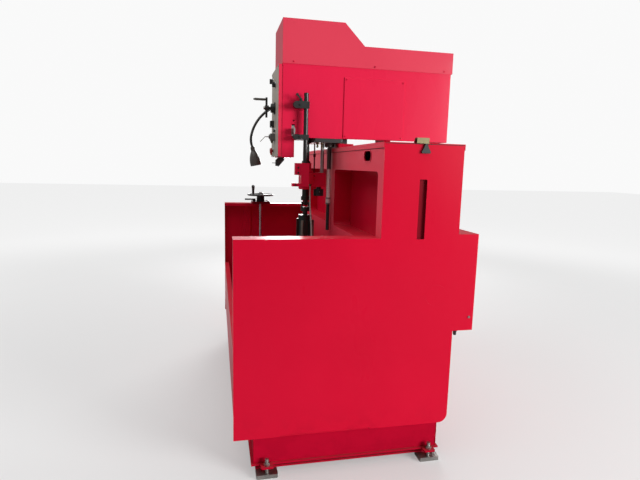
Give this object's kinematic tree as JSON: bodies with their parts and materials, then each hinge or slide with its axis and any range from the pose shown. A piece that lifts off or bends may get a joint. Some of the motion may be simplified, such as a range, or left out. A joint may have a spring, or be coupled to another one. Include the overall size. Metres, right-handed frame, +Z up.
{
  "type": "vertical cylinder honing machine",
  "caption": "Floor-standing honing machine: sheet-metal coolant tank and cabinet, overhanging drive head with spindle, expanding hone, crosshead, trip dogs, control panel and work lamp.",
  "frame": {"origin": "centre of the bounding box at floor level, under the feet", "axes": "+Z up, +X to the machine's right as the operator faces it from -Y, operator's side towards -Y"},
  "size_m": [2.14, 1.424, 2.361],
  "materials": {
    "red_paint": "semi-gloss crimson paint",
    "base_paint": "semi-gloss crimson paint, scuffed",
    "grey_paint": "pale grey paint",
    "black_paint": "black paint",
    "red_casting": "painted crimson",
    "black_casting": "painted black",
    "grey_casting": "machined",
    "steel": "ground",
    "dark_steel": "blackened",
    "zinc": "zinc plated",
    "chrome": "polished",
    "brass": "dull brass",
    "rubber": "matt black",
    "black_plastic": "moulded",
    "red_plastic": "moulded",
    "orange_lens": "translucent lens",
    "hose": "pale tube",
    "abrasive": "honing stone",
    "bulb_glass": "frosted"
  },
  "bodies": {
    "machine": {"base_frame": "base_paint", "foot_plates": "zinc", "levelling_bolts": "zinc", "right_side_panel": "red_paint", "left_side_panel": "red_paint", "round_cover": "red_paint", "tank_pan": "red_paint", "cabinet_front": "red_paint", "cabinet_back": "red_paint", "column": "red_paint", "cabinet_lid": "red_paint", "latch_straps": "rubber", "latch_keepers": "brass", "switchgear_box": "red_paint", "head_frame": "black_casting", "stroke_cylinder": "steel", "head_housing": "red_paint", "head_hood": "red_paint", "side_cover": "red_paint", "cover_screws": "steel", "control_panel": "grey_paint", "pilot_lamp": "orange_lens", "crank_boss": "black_paint", "valve_block": "grey_casting", "panel_hook": "black_paint", "lamp_neck": "black_paint", "coolant_pipe": "steel", "handwheel_bracket": "grey_casting", "screw_gearbox": "grey_casting", "table_bed": "grey_casting"},
    "crosshead_body": {"crosshead": "red_casting", "piston_rod": "chrome", "stroke_rod": "dark_steel", "coolant_hose": "hose", "hose_nozzle": "brass"},
    "spindle": {"spindle_shaft": "steel"},
    "universal_cross": {"joint_cross": "steel"},
    "hone": {"hone_body": "steel"},
    "stone_one": {"hone_stone_1": "abrasive"},
    "stone_two": {"hone_stone_2": "abrasive"},
    "stone_three": {"hone_stone_3": "abrasive"},
    "upper_dog_body": {"upper_dog": "dark_steel"},
    "dog_lever_body": {"dog_lever": "dark_steel"},
    "lower_dog_body": {"lower_dog": "dark_steel"},
    "trip_finger_body": {"trip_finger": "steel"},
    "feed_knob_body": {"feed_knob": "black_plastic"},
    "crank_body": {"crank": "steel"},
    "crank_grip_body": {"crank_grip": "black_plastic"},
    "left_knob": {"selector_knob_left": "black_plastic"},
    "right_knob": {"selector_knob_right": "black_plastic"},
    "mode_knob": {"mode_switch": "black_plastic"},
    "stop_plunger": {"stop_button": "black_plastic"},
    "emergency_plunger": {"emergency_stop": "red_plastic"},
    "valve_lever_body": {"valve_lever": "steel"},
    "lamp_head": {"lamp_shade": "black_paint", "lamp_bulb": "bulb_glass"},
    "handwheel_body": {"handwheel": "steel"},
    "clamp_lever_body": {"clamp_lever": "black_paint"},
    "screw": {"lead_screw": "steel"},
    "table": {"work_table": "grey_casting"}
  },
  "joints": [
    {"name": "stroke", "type": "slide", "parent": "machine", "child": "crosshead_body", "axis": [0, 0, 1], "range_m": [-0.1, 0]},
    {"name": "spindle_turn", "type": "hinge", "parent": "crosshead_body", "child": "spindle", "pos_m": [0, -0.2, 1.43], "axis": [0, 0, 1], "continuous": true},
    {"name": "joint_tilt_x", "type": "hinge", "parent": "spindle", "child": "universal_cross", "pos_m": [0, -0.2, 1.25], "axis": [1, 0, 0], "range_deg": [-6, 6]},
    {"name": "joint_tilt_y", "type": "hinge", "parent": "universal_cross", "child": "hone", "pos_m": [0, -0.2, 1.25], "axis": [0, 1, 0], "range_deg": [-6, 6]},
    {"name": "stone_feed_1", "type": "slide", "parent": "hone", "child": "stone_one", "axis": [0, 1, 0], "range_m": [0, 0.004]},
    {"name": "stone_feed_2", "type": "slide", "parent": "hone", "child": "stone_two", "axis": [-0.866, -0.5, 0], "range_m": [0, 0.004]},
    {"name": "stone_feed_3", "type": "slide", "parent": "hone", "child": "stone_three", "axis": [0.866, -0.5, 0], "range_m": [0, 0.004]},
    {"name": "upper_dog_set", "type": "slide", "parent": "crosshead_body", "child": "upper_dog_body", "axis": [0, 0, 1], "range_m": [0, 0.045]},
    {"name": "dog_lever_swing", "type": "hinge", "parent": "upper_dog_body", "child": "dog_lever_body", "pos_m": [0.225, -0.28, 1.891], "axis": [1, 0, 0], "range_deg": [-40, 20]},
    {"name": "lower_dog_set", "type": "slide", "parent": "crosshead_body", "child": "lower_dog_body", "axis": [0, 0, 1], "range_m": [-0.1, 0]},
    {"name": "finger_trip", "type": "slide", "parent": "machine", "child": "trip_finger_body", "axis": [0, 0, 1], "range_m": [0, 0.012]},
    {"name": "feed_turn", "type": "hinge", "parent": "crosshead_body", "child": "feed_knob_body", "pos_m": [0, -0.112, 1.33], "axis": [0, 0, 1], "continuous": true},
    {"name": "crank_turn", "type": "hinge", "parent": "machine", "child": "crank_body", "pos_m": [0, -0.44, 1.857], "axis": [0, 1, 0], "continuous": true},
    {"name": "crank_grip_turn", "type": "hinge", "parent": "crank_body", "child": "crank_grip_body", "pos_m": [0, -0.508, 1.909], "axis": [0, 1, 0], "continuous": true},
    {"name": "left_knob_turn", "type": "hinge", "parent": "machine", "child": "left_knob", "pos_m": [-0.12, -0.42, 2.04], "axis": [0, 1, 0], "range_deg": [-60, 60]},
    {"name": "right_knob_turn", "type": "hinge", "parent": "machine", "child": "right_knob", "pos_m": [0.02, -0.42, 2], "axis": [0, 1, 0], "range_deg": [-60, 60]},
    {"name": "mode_turn", "type": "hinge", "parent": "machine", "child": "mode_knob", "pos_m": [-0.06, -0.42, 1.762], "axis": [0, 1, 0], "range_deg": [-45, 45]},
    {"name": "stop_press", "type": "slide", "parent": "machine", "child": "stop_plunger", "axis": [0, 1, 0], "range_m": [0, 0.004], "stiffness_N_per_m": 250},
    {"name": "emergency_press", "type": "slide", "parent": "machine", "child": "emergency_plunger", "axis": [0, 1, 0], "range_m": [0, 0.006], "stiffness_N_per_m": 500},
    {"name": "valve_turn", "type": "hinge", "parent": "machine", "child": "valve_lever_body", "pos_m": [0, -0.447, 1.678], "axis": [0, 1, 0], "range_deg": [-45, 45]},
    {"name": "lamp_tilt", "type": "hinge", "parent": "machine", "child": "lamp_head", "pos_m": [-0.1, -0.545, 1.612], "axis": [1, 0, 0], "range_deg": [-25, 25]},
    {"name": "handwheel_turn", "type": "hinge", "parent": "machine", "child": "handwheel_body", "pos_m": [-0.94, -0.415, 1.246], "axis": [0, 0, 1], "range_deg": [-5400, 5400]},
    {"name": "screw_turn", "type": "hinge", "parent": "machine", "child": "screw", "pos_m": [0, -0.415, 0.52], "axis": [1, 0, 0], "range_deg": [-5400, 5400]},
    {"name": "table_travel", "type": "slide", "parent": "machine", "child": "table", "axis": [1, 0, 0], "range_m": [-0.3, 0.3]},
    {"name": "clamp_swing", "type": "hinge", "parent": "machine", "child": "clamp_lever_body", "pos_m": [-0.94, -0.469, 1.208], "axis": [0, 0, 1], "range_deg": [-40, 40]}
  ],
  "couplings": [
    {"joint": "stone_feed_2", "follows": "stone_feed_1", "ratio": 1},
    {"joint": "stone_feed_3", "follows": "stone_feed_1", "ratio": 1},
    {"joint": "screw_turn", "follows": "handwheel_turn", "ratio": 1},
    {"joint": "table_travel", "follows": "handwheel_turn", "m_per_rad": 0.0031831}
  ]
}
